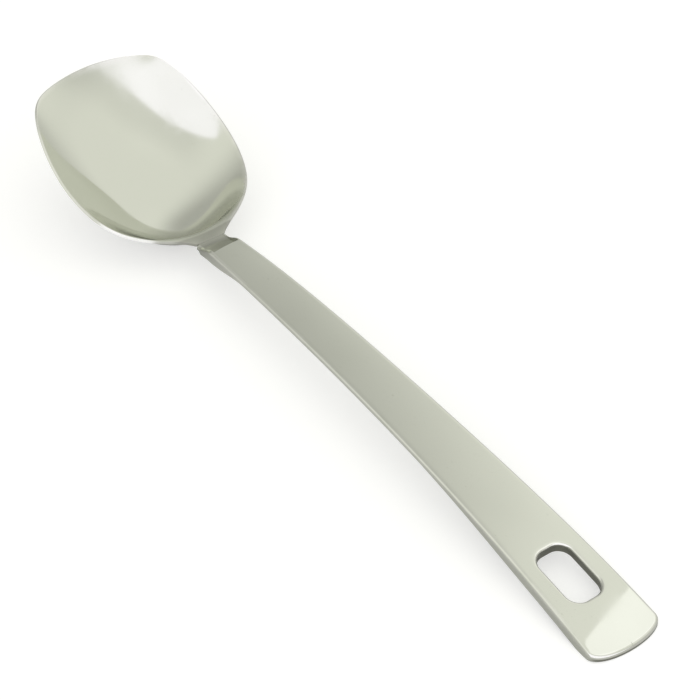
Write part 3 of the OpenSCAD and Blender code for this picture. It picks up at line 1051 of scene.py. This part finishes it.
class SPOON_OT_add_weld_beads(Operator):
    """Add the four weld beads that hold the tang between the walls of the handle"""

    bl_idname = "spoon.add_weld_beads"
    bl_label = "Add weld beads"

    def execute(self, context):
        scene = context.scene
        weld = scene.spoon_weld
        sheet = scene.spoon_sheet
        form = HandleForm(scene)
        front = form.top_length - weld.length / 2
        back = form.top_length - scene.spoon_bowl.tang_length + weld.length / 2
        bm = bmesh.new()
        turn = bm.verts.layers.float.new("turn")
        tilt = bm.verts.layers.float.new("tilt")
        for x in (back, front):
            slope = math.atan((form.arch(x + MM) - form.arch(x)) / MM)
            y = form.half_width(x) - sheet.thickness - sheet.fit_gap / 2 - weld.leg * BEAD_OUT
            under = form.face_height(x, y) - 2 * (sheet.thickness + sheet.fit_gap)
            for side in (1, -1):
                v = bm.verts.new((x, side * y, under - weld.leg * BEAD_OUT))
                v[turn] = 0 if side == 1 else math.pi
                v[tilt] = -side * slope
        piece = piece_from(bm, "weld_beads_run")
        sizes = {
            "Length": weld.length,
            "Leg": weld.leg,
            "End size": weld.end_share,
            "Ripples": float(weld.ripples),
        }
        grow(piece, "lay_beads", self.beads, sizes, weld_steel(scene.spoon_steel))
        ride_for(piece, "weld_steel", "weld_beads")
        return {"FINISHED"}

    @staticmethod
    def beads(nodes, given):
        """Lays one rippled bead at each point."""
        calc, plus, minus, times = nodes.math, nodes.plus, nodes.minus, nodes.times
        half = times(given["Length"], 0.5)
        ends = {name: nodes.vector(X=times(half, sign)) for name, sign in (("Start", -1.0), ("End", 1.0))}
        line = nodes.add("GeometryNodeCurvePrimitiveLine", ends).outputs["Curve"]
        steps = nodes.add("GeometryNodeResampleCurve", {"Curve": line, "Count": BEAD_RINGS}).outputs["Curve"]
        place = nodes.add("GeometryNodeSplineParameter").outputs["Factor"]
        bulge = calc("SINE", times(place, math.pi))
        beat = calc("ABSOLUTE", calc("SINE", times(place, given["Ripples"], math.pi)))
        size = times(
            plus(times(minus(1.0, given["End size"]), bulge), given["End size"]),
            plus(times(beat, RIPPLE_RISE), RIPPLE_LEAST),
            nodes.eased(times(place, minus(1.0, place)), *BEAD_TIP),
        )
        path = nodes.add("GeometryNodeSetCurveRadius", {"Curve": steps, "Radius": size}).outputs["Curve"]
        ring = {"Resolution": BEAD_SIDES, "Radius": times(given["Leg"], 0.5)}
        section = nodes.add("GeometryNodeCurvePrimitiveCircle", ring).outputs["Curve"]
        bead = {"Curve": path, "Profile Curve": section, "Fill Caps": True}
        laid = nodes.add("GeometryNodeInstanceOnPoints", {
            "Points": given["Blank"],
            "Instance": nodes.add("GeometryNodeCurveToMesh", bead).outputs["Mesh"],
            "Rotation": nodes.vector(Y=stored(nodes, "tilt"), Z=stored(nodes, "turn")),
        })
        return laid.outputs["Instances"]


class SPOON_OT_add_stage(Operator):
    """Add the pale floor, the soft light and the camera"""

    bl_idname = "spoon.add_stage"
    bl_label = "Add stage"

    def execute(self, context):
        scene = context.scene
        settings = scene.spoon_studio
        self.add_floor(settings)
        self.set_world(scene, settings)
        self.add_card(settings)
        self.add_camera(scene, settings)
        scene.view_settings.view_transform = "Standard"
        return {"FINISHED"}

    @staticmethod
    def add_floor(settings):
        """White paper that keeps the spoon's shadow."""
        bm = bmesh.new()
        bmesh.ops.create_circle(bm, cap_ends=True, segments=96, radius=settings.floor_radius)
        floor = new_object("floor", mesh_from(bm, "floor"))
        made, nodes, shader = new_material("white_paper")
        path = nodes.add("ShaderNodeLightPath").outputs
        seen = nodes.math("MAXIMUM", path["Is Camera Ray"], path["Is Transmission Ray"])
        seen = nodes.times(seen, settings.floor_lift)
        mirrored = nodes.times(path["Is Glossy Ray"], settings.mirror_lift)
        nodes.fill(shader, {
            "Base Color": (*settings.floor_colour, 1),
            "Roughness": 0.9,
            "Specular IOR Level": 0,
            "Emission Color": (1, 1, 1, 1),
            "Emission Strength": nodes.plus(seen, mirrored),
        })
        floor.data.materials.append(made)

    @staticmethod
    def set_world(scene, settings):
        """Soft light all round, less of it low down and in a gap beyond the bowl, and a white panel."""
        world = bpy.data.worlds.new("studio")
        scene.world = world
        world.use_nodes = True
        nodes = NodeBuilder(world.node_tree)
        place = nodes.add("ShaderNodeTexCoord").outputs["Generated"]
        way = nodes.parts(place)
        beyond, over, beside = [
            nodes.vector_math("DOT_PRODUCT", {0: place, 1: direction})
            for direction in (settings.gap_direction, settings.panel_direction, settings.panel_side)
        ]
        gap = nodes.eased(beyond, *GAP_EDGE, 0, settings.gap_share)
        gap = nodes.times(gap, nodes.eased(way["Z"], *GAP_HEIGHT))
        low = nodes.eased(way["Z"], *HORIZON, settings.horizon_share, 0)
        shade = nodes.times(nodes.eased(over, *SHADE_EDGE), nodes.eased(way["X"], *SHADE_SIDE))
        level = nodes.minus(1.0, gap, low, shade)
        air = nodes.mix(1, (*settings.air_colour, 1), level, "MULTIPLY")
        inside = nodes.times(
            nodes.eased(over, *PANEL_EDGE),
            nodes.eased(beside, *PANEL_SIDE),
            nodes.eased(way["Z"], *PANEL_FOOT),
        )
        light = nodes.mix(inside, air, (*settings.panel_colour, 1))
        nodes.fill(world.node_tree.nodes["Background"], {"Color": light, "Strength": 1})

    @staticmethod
    def add_card(settings):
        """A small white card over the hanging end, which the end mirrors."""
        light = bpy.data.lights.new("card", "AREA")
        light.shape = "RECTANGLE"
        light.size = settings.card_length
        light.size_y = settings.card_width
        light.energy = settings.card_power
        light.color = settings.card_colour
        card = new_object("card", light)
        card.location = settings.card_place
        card.rotation_euler.z = settings.card_turn
        card.visible_camera = False

    @staticmethod
    def add_camera(scene, settings):
        e, b = settings.elevation, settings.bearing
        back = Vector((-math.cos(e) * math.cos(b), math.cos(e) * math.sin(b), math.sin(e)))
        ahead = -back
        right = ahead.cross(Vector((0, 0, 1))).normalized()
        up = right.cross(ahead)
        turn = Matrix.Rotation(-settings.roll, 3, ahead)
        axes = Matrix((turn @ right, turn @ up, back)).transposed().to_4x4()
        place = Matrix.Translation(Vector(settings.target) + back * settings.distance)
        camera = bpy.data.cameras.new("camera")
        camera.lens = settings.focal_length
        camera.sensor_width = 36
        camera.clip_start = 0.05
        camera.clip_end = 20
        holder = new_object("camera", camera)
        holder.matrix_world = place @ axes
        scene.camera = holder


GROUPS = (
    ("spoon_sheet", SpoonSheetSettings),
    ("spoon_bowl", SpoonBowlSettings),
    ("spoon_handle", SpoonHandleSettings),
    ("spoon_hole", SpoonHoleSettings),
    ("spoon_weld", SpoonWeldSettings),
    ("spoon_steel", SpoonSteelSettings),
    ("spoon_studio", SpoonStudioSettings),
)


class SPOON_PT_panel(Panel):
    """Lists the spoon's sizes and the operators that make it"""

    bl_idname = "SPOON_PT_panel"
    bl_label = "Serving spoon"
    bl_space_type = "VIEW_3D"
    bl_region_type = "UI"
    bl_category = "Spoon"

    def draw(self, context):
        layout = self.layout
        for operator in OPERATORS:
            layout.operator(operator.bl_idname)
        for name, group in GROUPS:
            box = layout.box()
            box.label(text=group.__doc__)
            for setting in group.__annotations__:
                box.prop(getattr(context.scene, name), setting)


OPERATORS = (SPOON_OT_add_stage, SPOON_OT_add_bowl, SPOON_OT_add_handle, SPOON_OT_add_weld_beads)
CLASSES = (*[group for name, group in GROUPS], *OPERATORS, SPOON_PT_panel)


def register():
    for made in CLASSES:
        bpy.utils.register_class(made)
    for name, group in GROUPS:
        setattr(bpy.types.Scene, name, PointerProperty(type=group))


def unregister():
    for name, group in GROUPS:
        delattr(bpy.types.Scene, name)
    for made in reversed(CLASSES):
        bpy.utils.unregister_class(made)


def main():
    register()
    bpy.ops.spoon.add_stage()
    bpy.ops.spoon.add_bowl()
    bpy.ops.spoon.add_handle()
    bpy.ops.spoon.add_weld_beads()
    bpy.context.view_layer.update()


if __name__ == "__main__":
    main()
